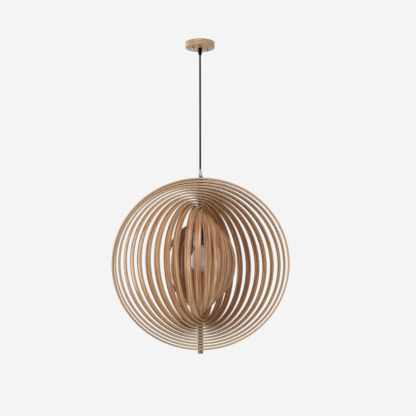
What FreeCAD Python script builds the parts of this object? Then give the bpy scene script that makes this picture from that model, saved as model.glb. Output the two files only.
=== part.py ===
"""Wood ring pendant light.

Nested bent-wood hoops are threaded on a hollow stem at the top and on a rod at the bottom, each hoop
turned a little further than the one outside it.  The stem hangs on a taut cord from a turned wood
canopy, and carries a lampholder and bulb inside the hoops.

Frame: millimetres, +Z up, origin on the ceiling at the middle of the canopy.
"""

import FreeCAD
import Part
import Sketcher
import math
import os
import re

# Driving sizes: name, value, meaning (millimetres, and degrees for angles)
SIZE_ROWS = [
    ("canopy_diameter", 85.0, "wood canopy, outside"),
    ("canopy_height", 16.5, "wood canopy, ceiling to underside"),
    ("canopy_wall", 5.0, "side wall of the canopy"),
    ("canopy_floor", 4.0, "floor of the canopy"),
    ("canopy_edge", 1.5, "bevel round the lower edge of the canopy"),
    ("plate_edge_room", 2.5, "room between mounting plate and canopy wall"),
    ("plate_thickness", 1.5, "steel mounting plate"),
    ("plate_wire_hole", 16.0, "hole for the house wiring"),
    ("ceiling_hole_pitch", 52.0, "between the two ceiling screws"),
    ("ceiling_hole_diameter", 4.5, "for the ceiling screws"),
    ("stud_pitch", 46.0, "between the two canopy studs"),
    ("stud_angle", 28.0, "line of the studs, from the X axis"),
    ("stud_diameter", 4.0, "canopy studs"),
    ("stud_reach", 5.6, "stud below the canopy"),
    ("cap_nut_flats", 5.5, "cap nut across its flats"),
    ("cap_nut_hex_height", 5.2, "hexagon of the cap nut"),
    ("cap_nut_height", 8.6, "cap nut with its dome"),
    ("cap_nut_dome_diameter", 5.2, "foot of the dome"),
    ("cap_nut_tip_diameter", 2.4, "flat at the top of the dome"),
    ("grip_diameter", 12.0, "canopy cord grip"),
    ("grip_length", 21.5, "canopy cord grip below the canopy"),
    ("grip_taper", 8.5, "tapered end of the canopy cord grip"),
    ("grip_tip_diameter", 7.0, "end of the taper"),
    ("grip_thread_diameter", 9.0, "threaded neck of the canopy cord grip"),
    ("locknut_flats", 14.0, "locknut across its flats"),
    ("locknut_height", 3.0, "locknut of the canopy cord grip"),
    ("thread_overhang", 1.0, "thread that stands past its nut"),
    ("cord_diameter", 5.4, "round sheathed cord"),
    ("core_diameter", 2.0, "insulated core in the cord"),
    ("core_spread", 2.4, "between the cores where the sheath ends"),
    ("core_bend", 3.0, "bend radius of the cores"),
    ("block_length", 20.0, "terminal block, across its poles"),
    ("block_width", 14.0, "terminal block, along its wires"),
    ("block_height", 8.0, "terminal block"),
    ("block_distance", 12.5, "canopy axis to the terminal block"),
    ("block_pole_pitch", 8.0, "between the two poles"),
    ("block_screw_diameter", 3.0, "clamp screws"),
    ("block_screw_length", 2.5, "clamp screws"),
    ("ring_drop", 398.2, "ceiling to the top of the outer hoop"),
    ("ring_width", 500.0, "outer hoop, side to side"),
    ("ring_height", 485.0, "outer hoop, top to bottom"),
    ("strip_width", 18.0, "wood strip of each hoop"),
    ("strip_thickness", 5.0, "wood strip of each hoop"),
    ("strip_gap", 3.0, "between two hoops on the axis"),
    ("side_step", 9.4, "from one hoop to the next at the side"),
    ("spacer_diameter", 14.0, "round spacers between the hoops"),
    ("running_clearance", 0.05, "radial, hoop on stem or rod"),
    ("seat_clearance", 0.1, "hoop to the spacer beside it"),
    ("fit_clearance", 0.05, "radial, between pieces that don't move"),
    ("stem_diameter", 8.0, "threaded hollow stem, and the lower rod"),
    ("stem_bore", 5.9, "cord way through the stem"),
    ("stem_grip_length", 18.7, "conical cord grip on the stem"),
    ("stem_grip_base", 11.4, "lower end of the cone"),
    ("stem_grip_top", 6.6, "upper end of the cone"),
    ("stem_grip_socket", 8.0, "stem inside the conical grip"),
    ("stem_nut_flats", 13.0, "nuts on the stem and the rod"),
    ("top_nut_height", 5.5, "nut above the outer hoop"),
    ("lower_nut_height", 5.0, "nut under the inner hoop"),
    ("holder_gap", 1.0, "bare stem above the lampholder"),
    ("holder_neck_diameter", 14.0, "threaded neck of the lampholder"),
    ("holder_neck_height", 6.5, "threaded neck of the lampholder"),
    ("holder_shoulder_height", 7.5, "sloping shoulder of the lampholder cap"),
    ("holder_diameter", 40.0, "lampholder skirt, outside"),
    ("holder_wall", 2.0, "walls of the lampholder"),
    ("skirt_height", 33.3, "lampholder skirt"),
    ("skirt_shoulder", 4.0, "thick upper part of the skirt"),
    ("spigot_height", 4.0, "skirt inside the cap"),
    ("insert_flange", 2.0, "flange of the insert, on the spigot"),
    ("sleeve_wall", 0.9, "brass screw sleeve"),
    ("sleeve_length", 24.0, "brass screw sleeve"),
    ("contact_diameter", 6.0, "middle contact of the lampholder"),
    ("contact_height", 2.0, "middle contact of the lampholder"),
    ("bulb_cap_diameter", 26.2, "screw cap of the bulb"),
    ("bulb_cap_length", 20.0, "screw cap of the bulb"),
    ("bulb_cap_wall", 0.4, "screw cap of the bulb"),
    ("insulator_height", 2.5, "insulator at the end of the cap"),
    ("insulator_diameter", 12.0, "small end of the insulator"),
    ("tip_height", 1.0, "tip contact of the bulb"),
    ("tip_diameter", 8.0, "tip contact of the bulb"),
    ("bulb_diameter", 60.0, "bulb glass"),
    ("bulb_glass_length", 77.0, "bulb glass below the cap"),
    ("bulb_glass_wall", 1.0, "bulb glass"),
    ("bulb_neck_diameter", 25.0, "bulb glass inside the cap"),
    ("bulb_neck_length", 6.0, "straight neck below the cap"),
    ("bulb_neck_inset", 4.0, "neck inside the cap"),
    ("mount_flange", 1.0, "glass mount, flange on the neck"),
    ("mount_diameter", 7.0, "glass mount"),
    ("mount_length", 30.0, "glass mount"),
    ("lead_pitch", 4.0, "between the filament leads"),
    ("lead_length", 16.0, "filament leads"),
    ("lead_diameter", 0.8, "filament leads"),
    ("filament_diameter", 1.2, "coiled filament"),
    ("end_nut_diameter", 14.6, "round nut under the outer hoop"),
    ("end_nut_height", 9.5, "round nut under the outer hoop"),
    ("end_nut_bore", 7.0, "depth of the rod in the end nut"),
    ("end_nut_edge", 0.8, "bevel of the end nut"),
]

# Turn of each hoop about the upright axis, from the outer hoop inwards
RING_TURNS = [-3.0, 4.5, 11.5, 20.5, 28.0, 35.0, 43.0, 50.5, 59.0,
              66.0, 77.5, 87.5, 99.0, 112.0, 123.5, 137.0, 167.5]

for number, turn in enumerate(RING_TURNS, 1):
    SIZE_ROWS.append(("ring_%02d_turn" % number, turn, "turn of hoop %d" % number))

SIZE_NAMES = {row[0] for row in SIZE_ROWS}

DOC = FreeCAD.newDocument("ring_pendant")
SHEET = DOC.addObject("Spreadsheet::Sheet", "Sizes")
NODES = []

# Heights that several pieces share
CANOPY_UNDERSIDE = "-canopy_height"
GRIP_TIP = "(-canopy_height - grip_length)"
SHEATH_END = "(-canopy_height + canopy_floor + locknut_height + thread_overhang)"
RING_TOP = "(-ring_drop)"
RING_MIDDLE = "(-ring_drop - ring_height / 2)"
STEM_GRIP_BASE = "(-ring_drop + seat_clearance + top_nut_height)"
STEM_GRIP_TOP = "(-ring_drop + seat_clearance + top_nut_height + stem_grip_length)"

# Heights in the lampholder cap, from its rim: the sloping shoulder clears the flange of the insert
CAP_SHOULDER_FOOT = "(spigot_height + insert_flange + holder_wall / 2)"
CAP_NECK_FOOT = "(%s + holder_shoulder_height)" % CAP_SHOULDER_FOOT
CAP_HEIGHT = "(%s + holder_neck_height)" % CAP_NECK_FOOT


def fill_sheet():
    """Write the driving sizes into the sheet, one row each."""
    for row, (name, value, meaning) in enumerate(SIZE_ROWS, 1):
        SHEET.set("A%d" % row, name)
        SHEET.set("B%d" % row, str(value))
        SHEET.set("C%d" % row, meaning)
        SHEET.setAlias("B%d" % row, name)
    DOC.recompute()


def link(formula):
    """Turn a formula of size names into an expression on the sheet."""
    def qualify(match):
        word = match.group(0)
        return "Sizes." + word if word in SIZE_NAMES else word
    return re.sub(r"[a-z_][a-z_0-9]*", qualify, formula)


def bind(thing, **formulas):
    """Bind properties of an object to formulas; a double underscore stands for a dot."""
    for name, formula in formulas.items():
        thing.setExpression(name.replace("__", "."), link(formula))
    return thing


def keep(thing, label):
    """Make an object a sub-part of the light, under the name of its file."""
    thing.Label = label
    NODES.append(thing)
    return thing


def raised(thing, height):
    """Bind the height of an object's own zero."""
    return bind(thing, Placement__Base__z=height)


def cylinder(name, diameter, length, height):
    """Upright cylinder on the axis, from a height upwards."""
    rod = DOC.addObject("Part::Cylinder", name)
    bind(rod, Radius="(%s) / 2" % diameter, Height=length)
    return raised(rod, height)


def hexagon(name, flats, length, height):
    """Upright hexagonal bar on the axis, from a height upwards."""
    bar = DOC.addObject("Part::Prism", name)
    bar.Polygon = 6
    bind(bar, Circumradius="(%s) / 2 / cos(30 deg)" % flats, Height=length)
    return raised(bar, height)


def cut(name, base, *tools):
    """Base less each of the tools."""
    for number, tool in enumerate(tools, 1):
        step = DOC.addObject("Part::Cut", "%s_cut_%d" % (name, number))
        step.Base = base
        step.Tool = tool
        base = step
    return base


def fuse(name, base, tool):
    """Two shapes as one solid."""
    whole = DOC.addObject("Part::Fuse", name)
    whole.Base = base
    whole.Tool = tool
    return whole


def group(name, things):
    """Separate solids that share one sub-part."""
    together = DOC.addObject("Part::Compound", name)
    together.Links = things
    return together


def tube(name, outside, inside, length, height):
    """Upright tube on the axis, from a height upwards."""
    return cut(name, cylinder(name + "_outside", outside, length, height),
               cylinder(name + "_bore", inside, length, height))


def nut(name, flats, bore, length, height):
    """Hexagonal nut on the axis."""
    return cut(name, hexagon(name + "_hexagon", flats, length, height),
               cylinder(name + "_bore", bore, length, height))


def new_sketch(body, role):
    """Sketch on one of a body's own planes."""
    plane = [item for item in body.Origin.OriginFeatures if item.Role == role][0]
    sketch = body.newObject("Sketcher::SketchObject", body.Name + "_sketch")
    sketch.AttachmentSupport = [(plane, "")]
    sketch.MapMode = "FlatFace"
    return sketch


def pin_point(sketch, element, point, radius, level):
    """Hold a sketch point at a radius and a level; a formula of 0 puts it on that axis."""
    for kind, formula, axis in (("DistanceX", radius, -2), ("DistanceY", level, -1)):
        if formula == "0":
            sketch.addConstraint(Sketcher.Constraint("PointOnObject", element, point, axis))
        else:
            number = sketch.addConstraint(Sketcher.Constraint(kind, -1, 1, element, point, 1.0))
            sketch.setExpression("Constraints[%d]" % number, link(formula))


def revolve(body, sketch):
    """Turn a sketch about the upright axis into the body's solid."""
    turned_solid = body.newObject("PartDesign::Revolution", body.Name + "_turned")
    turned_solid.Profile = sketch
    turned_solid.ReferenceAxis = (sketch, ["V_Axis"])
    turned_solid.Angle = 360.0
    sketch.Visibility = False
    return body


def turned(name, outline, height):
    """Turned piece: outline is a loop of (radius, level) formulas above the given height."""
    body = DOC.addObject("PartDesign::Body", name)
    sketch = new_sketch(body, "XZ_Plane")
    corners = [FreeCAD.Vector(index + 1.0, index * index, 0) for index in range(len(outline))]
    for index, corner in enumerate(corners):
        following = corners[(index + 1) % len(corners)]
        sketch.addGeometry(Part.LineSegment(corner, following), False)
    for index in range(len(outline)):
        following = (index + 1) % len(outline)
        sketch.addConstraint(Sketcher.Constraint("Coincident", index, 2, following, 1))
    for index, (radius, level) in enumerate(outline):
        pin_point(sketch, index, 1, radius, level)
    return raised(revolve(body, sketch), height)


def beside(thing, distance, angle):
    """Bind an object's place to a distance and an angle from the upright axis."""
    return bind(thing, Placement__Base__x="(%s) * cos((%s) * 1 deg)" % (distance, angle),
                Placement__Base__y="(%s) * sin((%s) * 1 deg)" % (distance, angle))


def pair_on_studs(name, make):
    """One copy of a piece at each of the two studs, as a list."""
    pair = []
    for number, angle in ((1, "stud_angle"), (2, "stud_angle + 180")):
        pair.append(beside(make("%s_%d" % (name, number)), "stud_pitch / 2", angle))
    return pair


# Canopy and what fastens it


def make_canopy():
    """Wood cup, drilled for the cord grip and the two studs."""
    inside = "(canopy_diameter / 2 - canopy_wall)"
    cup = turned("canopy_cup", [
        ("0", "0"),
        ("canopy_diameter / 2 - canopy_edge", "0"),
        ("canopy_diameter / 2", "canopy_edge"),
        ("canopy_diameter / 2", "canopy_height"),
        (inside, "canopy_height"),
        (inside, "canopy_floor"),
        ("0", "canopy_floor"),
    ], CANOPY_UNDERSIDE)
    neck_hole = cylinder("canopy_neck_hole", "grip_thread_diameter + 2 * fit_clearance",
                         "canopy_floor", CANOPY_UNDERSIDE)
    stud_holes = pair_on_studs("canopy_stud_hole", lambda name: cylinder(
        name, "stud_diameter + 2 * fit_clearance", "canopy_floor", CANOPY_UNDERSIDE))
    keep(cut("canopy", cup, neck_hole, *stud_holes), "ceiling_canopy")


def make_plate():
    """Round steel plate against the ceiling, with its wire hole and screw holes."""
    underside = "-plate_thickness"
    disc = cylinder("plate_disc", "canopy_diameter - 2 * canopy_wall - 2 * plate_edge_room",
                    "plate_thickness", underside)
    tools = [cylinder("plate_wire_way", "plate_wire_hole", "plate_thickness", underside)]
    for number, side in ((1, "1"), (2, "-1")):
        hole = cylinder("plate_screw_hole_%d" % number, "ceiling_hole_diameter",
                        "plate_thickness", underside)
        tools.append(bind(hole, Placement__Base__x="%s * ceiling_hole_pitch / 2" % side))
    tools += pair_on_studs("plate_stud_hole", lambda name: cylinder(
        name, "stud_diameter + 2 * fit_clearance", "plate_thickness", underside))
    keep(cut("plate", disc, *tools), "mounting_plate")


def make_studs():
    """Studs from the plate through the canopy floor, and the cap nuts that hold the canopy."""
    studs = pair_on_studs("stud", lambda name: cylinder(
        name, "stud_diameter", "canopy_height + stud_reach", "-canopy_height - stud_reach"))
    keep(group("studs", studs), "canopy_studs")

    def cap_nut(name):
        lowest = "-canopy_height - cap_nut_height"
        dome_height = "cap_nut_height - cap_nut_hex_height"
        dome = DOC.addObject("Part::Cone", name + "_dome")
        bind(dome, Radius1="cap_nut_tip_diameter / 2", Radius2="cap_nut_dome_diameter / 2",
             Height=dome_height)
        raised(dome, lowest)
        bar = hexagon(name + "_hexagon", "cap_nut_flats", "cap_nut_hex_height",
                      "-canopy_height - cap_nut_hex_height")
        bore = cylinder(name + "_bore", "stud_diameter + 2 * fit_clearance", "stud_reach",
                        "-canopy_height - stud_reach")
        return cut(name, fuse(name + "_whole", dome, bar), bore)

    keep(group("cap_nuts", pair_on_studs("cap_nut", cap_nut)), "canopy_cap_nuts")


def make_terminal_block():
    """Two-pole terminal block under the plate, with its clamp screws."""
    underside = "(-plate_thickness - block_height)"
    block = DOC.addObject("Part::Box", "block_body")
    bind(block, Length="block_length", Width="block_width", Height="block_height",
         Placement__Base__x="-block_length / 2", Placement__Base__y="block_distance")
    raised(block, underside)
    ways = []
    screws = []
    for number, side in ((1, "1"), (2, "-1")):
        across = "%s * block_pole_pitch / 2" % side
        screw_line = "block_distance + block_width / 2"
        way = cylinder("block_screw_way_%d" % number, "block_screw_diameter + 2 * fit_clearance",
                       "block_screw_length", underside)
        ways.append(bind(way, Placement__Base__x=across, Placement__Base__y=screw_line))
        screw = cylinder("block_screw_%d" % number, "block_screw_diameter", "block_screw_length",
                         underside)
        screws.append(bind(screw, Placement__Base__x=across, Placement__Base__y=screw_line))
    keep(cut("block", block, *ways), "terminal_block")
    keep(group("block_screws", screws), "terminal_screws")


# Cord and its two grips


def make_canopy_grip():
    """Black grip under the canopy, with its threaded neck and locknut."""
    bore = "(cord_diameter / 2 + fit_clearance)"
    neck_end = "grip_length + canopy_floor + locknut_height + thread_overhang"
    keep(turned("canopy_grip", [
        (bore, "0"),
        ("grip_tip_diameter / 2", "0"),
        ("grip_diameter / 2", "grip_taper"),
        ("grip_diameter / 2", "grip_length"),
        ("grip_thread_diameter / 2", "grip_length"),
        ("grip_thread_diameter / 2", neck_end),
        (bore, neck_end),
    ], GRIP_TIP), "canopy_cord_grip")
    keep(nut("locknut", "locknut_flats", "grip_thread_diameter + 2 * fit_clearance",
             "locknut_height", "-canopy_height + canopy_floor"), "cord_grip_locknut")


def make_cord():
    """Taut free stretch of the cord and its two held ends."""
    keep(cylinder("cord_free", "cord_diameter", "%s - %s" % (GRIP_TIP, STEM_GRIP_TOP), STEM_GRIP_TOP),
         "cord")
    keep(cylinder("cord_top", "cord_diameter", "%s - %s" % (SHEATH_END, GRIP_TIP), GRIP_TIP),
         "cord_upper_end")
    lowest = "%s - holder_neck_height" % holder_top()
    keep(cylinder("cord_bottom", "cord_diameter", "%s - (%s)" % (STEM_GRIP_TOP, lowest), lowest),
         "cord_lower_end")


def make_cores():
    """Two cores that rise from the sheath, bend over and run to the poles of the terminal block."""
    cores = []
    offset = "(block_pole_pitch / 2 - core_spread / 2)"
    run = "sqrt(%s^2 + block_distance^2)" % offset
    end_room = "(core_diameter / 2 * %s / block_distance + fit_clearance)" % offset
    for number, side in ((1, 1), (2, -1)):
        bend = DOC.addObject("Part::Torus", "core_bend_%d" % number)
        bind(bend, Radius1="core_bend", Radius2="core_diameter / 2")
        bend.Angle3 = 90.0
        bend.Placement = FreeCAD.Placement(FreeCAD.Vector(), FreeCAD.Rotation(
            FreeCAD.Vector(-1, 0, 0), FreeCAD.Vector(0, 0, 1), FreeCAD.Vector(), "XZY"))
        bind(bend, Placement__Base__x="core_bend")
        straight = DOC.addObject("Part::Cylinder", "core_run_%d" % number)
        bind(straight, Radius="core_diameter / 2", Height="%s - core_bend - %s" % (run, end_room))
        straight.Placement = FreeCAD.Placement(FreeCAD.Vector(), FreeCAD.Rotation(
            FreeCAD.Vector(0, 0, 1), FreeCAD.Vector(1, 0, 0)))
        bind(straight, Placement__Base__x="core_bend", Placement__Base__z="core_bend")
        core = fuse("core_%d" % number, bend, straight)
        aim = "atan(%s / block_distance)" % offset
        bind(core, Placement__Rotation__Angle="90 deg - %d * %s" % (side, aim),
             Placement__Base__x="%d * core_spread / 2" % side)
        cores.append(raised(core, SHEATH_END))
    keep(group("cores", cores), "cord_cores")


def make_stem_grip():
    """Pale conical grip that holds the cord on top of the stem."""
    cord_bore = "(cord_diameter / 2 + fit_clearance)"
    socket = "(stem_diameter / 2 + fit_clearance)"
    keep(turned("stem_grip", [
        (socket, "0"),
        ("stem_grip_base / 2", "0"),
        ("stem_grip_top / 2", "stem_grip_length"),
        (cord_bore, "stem_grip_length"),
        (cord_bore, "stem_grip_socket"),
        (socket, "stem_grip_socket"),
    ], STEM_GRIP_BASE), "stem_cord_grip")


# Hoops and the two stacks that carry them


def half_width(number):
    """Outer half width of a hoop, counted from 0 at the outside."""
    return "(ring_width / 2 - %d * side_step)" % number


def half_height(number):
    """Outer half height of a hoop, counted from 0 at the outside."""
    return "(ring_height / 2 - %d * (strip_thickness + strip_gap))" % number


def inner_seat(number, radius):
    """Height above the middle where a flat round piece meets the hoop's inner face at its pole."""
    return ("((%s - strip_thickness) * sqrt(1 - (%s / (%s - strip_thickness))^2) - seat_clearance)"
            % (half_height(number), radius, half_width(number)))


def oval(name, across, along):
    """Upright elliptical block as wide as a strip; the larger half size is the major one."""
    curve = DOC.addObject("Part::Ellipse", name + "_curve")
    bind(curve, MajorRadius="max(%s; %s)" % (across, along), MinorRadius="min(%s; %s)" % (across, along),
         Placement__Rotation__Angle="%s >= %s ? 0 deg : 90 deg" % (across, along))
    block = DOC.addObject("Part::Extrusion", name)
    block.Base = curve
    block.DirMode = "Custom"
    block.Dir = FreeCAD.Vector(0, 0, 1)
    block.Symmetric = True
    block.Solid = True
    block.Placement = FreeCAD.Placement(FreeCAD.Vector(), FreeCAD.Rotation(FreeCAD.Vector(1, 0, 0), 90))
    return bind(block, LengthFwd="strip_width")


def make_rings():
    """Bent-wood hoops, drilled at both poles and turned about the axis."""
    bore = "stem_diameter + 2 * running_clearance"
    for number in range(len(RING_TURNS)):
        label = "ring_%02d" % (number + 1)
        outside = oval(label + "_outside", half_width(number), half_height(number))
        inside = oval(label + "_inside", half_width(number) + " - strip_thickness",
                      half_height(number) + " - strip_thickness")
        drill = cylinder(label + "_drill", bore, "2 * " + half_height(number), "-" + half_height(number))
        hoop = cut(label + "_hoop", outside, inside, drill)
        bind(hoop, Placement__Rotation__Angle="%s_turn * 1 deg" % label)
        keep(raised(hoop, RING_MIDDLE), label)


def make_spacers():
    """Round spacers in the gaps of the upper stack, and their mirror images in the lower stack."""
    spacers = []
    for number in range(len(RING_TURNS) - 1):
        top = inner_seat(number, "spacer_diameter / 2")
        foot = "(%s + seat_clearance)" % half_height(number + 1)
        spacers.append(tube("spacer_%02d" % (number + 1), "spacer_diameter",
                            "stem_diameter + 2 * fit_clearance", "%s - %s" % (top, foot),
                            "%s + %s" % (RING_MIDDLE, foot)))
    upper = keep(group("upper_spacers", spacers), "top_spacers")
    lower = DOC.addObject("Part::Mirroring", "lower_spacers")
    lower.Source = upper
    lower.Normal = FreeCAD.Vector(0, 0, 1)
    bind(lower, Base__z=RING_MIDDLE)
    keep(lower, "bottom_spacers")


def inner_nut_face():
    """Height above the middle of the nut faces that close both stacks."""
    return inner_seat(len(RING_TURNS) - 1, "(stem_nut_flats / 2 / cos(30 deg))")


def holder_top():
    """Height of the top of the lampholder."""
    return "(%s + %s - lower_nut_height - holder_gap)" % (RING_MIDDLE, inner_nut_face())


def make_stem():
    """Hollow stem with the nuts above and below the upper stack."""
    thread = "stem_diameter + 2 * fit_clearance"
    lowest = "(%s - holder_neck_height)" % holder_top()
    highest = "(%s + stem_grip_socket)" % STEM_GRIP_BASE
    keep(tube("stem", "stem_diameter", "stem_bore", "%s - %s" % (highest, lowest), lowest), "stem_tube")
    keep(nut("upper_nut", "stem_nut_flats", thread, "top_nut_height",
             "%s + seat_clearance" % RING_TOP), "top_nut")
    keep(nut("lower_nut", "stem_nut_flats", thread, "lower_nut_height",
             "%s + %s - lower_nut_height" % (RING_MIDDLE, inner_nut_face())), "stem_lower_nut")


def make_bottom_rod():
    """Rod through the lower stack, with its inner nut and the round end nut."""
    thread = "(stem_diameter / 2 + fit_clearance)"
    end_top = "(%s - ring_height - seat_clearance)" % RING_TOP
    rod_foot = "(%s - end_nut_bore)" % end_top
    nut_foot = "(%s - %s)" % (RING_MIDDLE, inner_nut_face())
    rod_top = "(%s + lower_nut_height + thread_overhang)" % nut_foot
    keep(cylinder("rod", "stem_diameter", "%s - %s" % (rod_top, rod_foot), rod_foot), "bottom_rod")
    keep(nut("rod_nut", "stem_nut_flats", "2 * " + thread, "lower_nut_height", nut_foot),
         "bottom_inner_nut")
    keep(turned("end_nut", [
        ("0", "0"),
        ("end_nut_diameter / 2 - end_nut_edge", "0"),
        ("end_nut_diameter / 2", "end_nut_edge"),
        ("end_nut_diameter / 2", "end_nut_height"),
        (thread, "end_nut_height"),
        (thread, "end_nut_height - end_nut_bore"),
        ("0", "end_nut_height - end_nut_bore"),
    ], "%s - end_nut_height" % end_top), "bottom_end_nut")


# Lampholder


def make_lampholder():
    """Cap, skirt, insert, screw sleeve and middle contact, from the top down."""
    radius = "(holder_diameter / 2)"
    cap_inside = "(holder_diameter / 2 - holder_wall)"
    spigot_inside = "(holder_diameter / 2 - 2 * holder_wall)"
    cap_foot = "(%s - %s)" % (holder_top(), CAP_HEIGHT)
    bore = "(stem_diameter / 2 + fit_clearance)"
    keep(turned("holder_cap", [
        (cap_inside, "0"),
        (radius, "0"),
        (radius, CAP_SHOULDER_FOOT),
        ("holder_neck_diameter / 2", CAP_NECK_FOOT),
        ("holder_neck_diameter / 2", CAP_HEIGHT),
        (bore, CAP_HEIGHT),
        (bore, CAP_NECK_FOOT + " - holder_wall"),
        ("holder_neck_diameter / 2", CAP_NECK_FOOT + " - holder_wall"),
        (cap_inside, CAP_SHOULDER_FOOT + " - holder_wall / 2"),
    ], cap_foot), "lampholder_cap")

    skirt_foot = "(%s - skirt_height)" % cap_foot
    keep(turned("holder_skirt", [
        (cap_inside, "0"),
        (radius, "0"),
        (radius, "skirt_height"),
        (cap_inside + " - fit_clearance", "skirt_height"),
        (cap_inside + " - fit_clearance", "skirt_height + spigot_height"),
        (spigot_inside, "skirt_height + spigot_height"),
        (spigot_inside, "skirt_height - skirt_shoulder"),
        (cap_inside, "skirt_height - skirt_shoulder"),
    ], skirt_foot), "lampholder_skirt")

    body_height = "(spigot_height + skirt_shoulder)"
    keep(turned("holder_insert", [
        ("0", "0"),
        (spigot_inside + " - fit_clearance", "0"),
        (spigot_inside + " - fit_clearance", body_height),
        (cap_inside + " - 2 * fit_clearance", body_height),
        (cap_inside + " - 2 * fit_clearance", body_height + " + insert_flange"),
        ("0", body_height + " + insert_flange"),
    ], insert_foot()), "lampholder_insert")

    sleeve_inside = "(bulb_cap_diameter + 2 * fit_clearance)"
    keep(tube("holder_sleeve", sleeve_inside + " + 2 * sleeve_wall", sleeve_inside, "sleeve_length",
              "%s - sleeve_length" % insert_foot()), "lampholder_screw_sleeve")
    keep(cylinder("holder_contact", "contact_diameter", "contact_height",
                  "%s - contact_height" % insert_foot()), "lampholder_contact")


def insert_foot():
    """Height of the underside of the lampholder insert."""
    return "(%s - %s - skirt_shoulder)" % (holder_top(), CAP_HEIGHT)


# Bulb


def bulb_cap_foot():
    """Height of the lower rim of the bulb's screw cap."""
    return "(%s - contact_height - tip_height - insulator_height - bulb_cap_length)" % insert_foot()


def make_bulb_cap():
    """Screw cap with its insulator and tip contact."""
    radius = "(bulb_cap_diameter / 2)"
    inside = "(bulb_cap_diameter / 2 - bulb_cap_wall)"
    keep(turned("bulb_screw_cap", [
        (inside, "0"),
        (radius, "0"),
        (radius, "bulb_cap_length"),
        ("insulator_diameter / 2", "bulb_cap_length"),
        ("insulator_diameter / 2", "bulb_cap_length - bulb_cap_wall"),
        (inside, "bulb_cap_length - bulb_cap_wall"),
    ], bulb_cap_foot()), "bulb_cap")
    insulator = DOC.addObject("Part::Cone", "bulb_insulator")
    bind(insulator, Radius1=radius + " - bulb_cap_wall", Radius2="insulator_diameter / 2",
         Height="insulator_height")
    insulator_foot = "(%s + bulb_cap_length)" % bulb_cap_foot()
    keep(raised(insulator, insulator_foot), "bulb_cap_insulator")
    keep(cylinder("bulb_tip", "tip_diameter", "tip_height", insulator_foot + " + insulator_height"),
         "bulb_tip_contact")


def make_bulb_glass():
    """Frosted glass: a globe whose sides run straight into the neck, with an even wall."""
    body = DOC.addObject("PartDesign::Body", "bulb_globe")
    sketch = new_sketch(body, "XZ_Plane")
    globe = SHEET.bulb_diameter / 2
    wall = SHEET.bulb_glass_wall
    neck = SHEET.bulb_neck_diameter / 2
    shoulder = SHEET.bulb_glass_length - SHEET.bulb_neck_length
    top = SHEET.bulb_glass_length + SHEET.bulb_neck_inset
    middle = FreeCAD.Vector(0, globe, 0)
    upright = FreeCAD.Vector(0, 0, 1)

    def arc(radius):
        rough_end = math.radians(25)
        return Part.ArcOfCircle(Part.Circle(middle, upright, radius), -math.pi / 2, rough_end)

    def line(start, end):
        return Part.LineSegment(FreeCAD.Vector(*start, 0), FreeCAD.Vector(*end, 0))

    outer, inner = arc(globe), arc(globe - wall)
    outer_end, inner_end = outer.EndPoint, inner.EndPoint
    for piece in (
            outer,
            line((outer_end.x, outer_end.y), (neck, shoulder)),
            line((neck, shoulder), (neck, top)),
            line((neck, top), (neck - wall, top)),
            line((neck - wall, top), (neck - wall, shoulder)),
            line((neck - wall, shoulder), (inner_end.x, inner_end.y)),
            inner,
            line((0, wall), (0, 0))):
        sketch.addGeometry(piece, False)
    join = Sketcher.Constraint
    sketch.addConstraint([
        join("Tangent", 0, 2, 1, 1),
        join("Coincident", 1, 2, 2, 1),
        join("Coincident", 2, 2, 3, 1),
        join("Coincident", 3, 2, 4, 1),
        join("Coincident", 4, 2, 5, 1),
        join("Tangent", 5, 2, 6, 2),
        join("Coincident", 6, 1, 7, 1),
        join("Coincident", 7, 2, 0, 1),
        join("Coincident", 6, 3, 0, 3),
        join("PointOnObject", 0, 3, -2),
        join("Coincident", 0, 1, -1, 1),
        join("PointOnObject", 6, 1, -2),
    ])
    for element, formula in ((0, "bulb_diameter / 2"), (6, "bulb_diameter / 2 - bulb_glass_wall")):
        number = sketch.addConstraint(join("Radius", element, globe))
        sketch.setExpression("Constraints[%d]" % number, link(formula))
    neck_radius = "bulb_neck_diameter / 2"
    pin_point(sketch, 2, 1, neck_radius, "bulb_glass_length - bulb_neck_length")
    pin_point(sketch, 2, 2, neck_radius, "bulb_glass_length + bulb_neck_inset")
    pin_point(sketch, 4, 1, neck_radius + " - bulb_glass_wall", "bulb_glass_length + bulb_neck_inset")
    pin_point(sketch, 4, 2, neck_radius + " - bulb_glass_wall", "bulb_glass_length - bulb_neck_length")
    keep(raised(revolve(body, sketch), "%s - bulb_glass_length" % bulb_cap_foot()), "bulb_glass")


def make_filament():
    """Glass mount that sits on the neck, and the filament on its two leads."""
    flange_foot = "(%s + bulb_neck_inset)" % bulb_cap_foot()
    keep(turned("bulb_mount", [
        ("0", "0"),
        ("mount_diameter / 2", "0"),
        ("mount_diameter / 2", "mount_length"),
        ("bulb_neck_diameter / 2", "mount_length"),
        ("bulb_neck_diameter / 2", "mount_length + mount_flange"),
        ("0", "mount_length + mount_flange"),
    ], "%s - mount_length" % flange_foot), "bulb_mount_stem")
    lead_top = "(%s - mount_length)" % flange_foot
    wires = []
    for number, side in ((1, "1"), (2, "-1")):
        lead = cylinder("lead_%d" % number, "lead_diameter", "lead_length", lead_top + " - lead_length")
        wires.append(bind(lead, Placement__Base__x="%s * lead_pitch / 2" % side))
    coil = DOC.addObject("Part::Cylinder", "filament_coil")
    coil.Placement = FreeCAD.Placement(FreeCAD.Vector(), FreeCAD.Rotation(FreeCAD.Vector(0, 1, 0), 90))
    bind(coil, Radius="filament_diameter / 2", Height="lead_pitch + 2 * lead_diameter",
         Placement__Base__x="-lead_pitch / 2 - lead_diameter")
    wires.append(raised(coil, lead_top + " - lead_length - filament_diameter / 2"))
    keep(group("filament_wires", wires), "bulb_filament")


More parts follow.
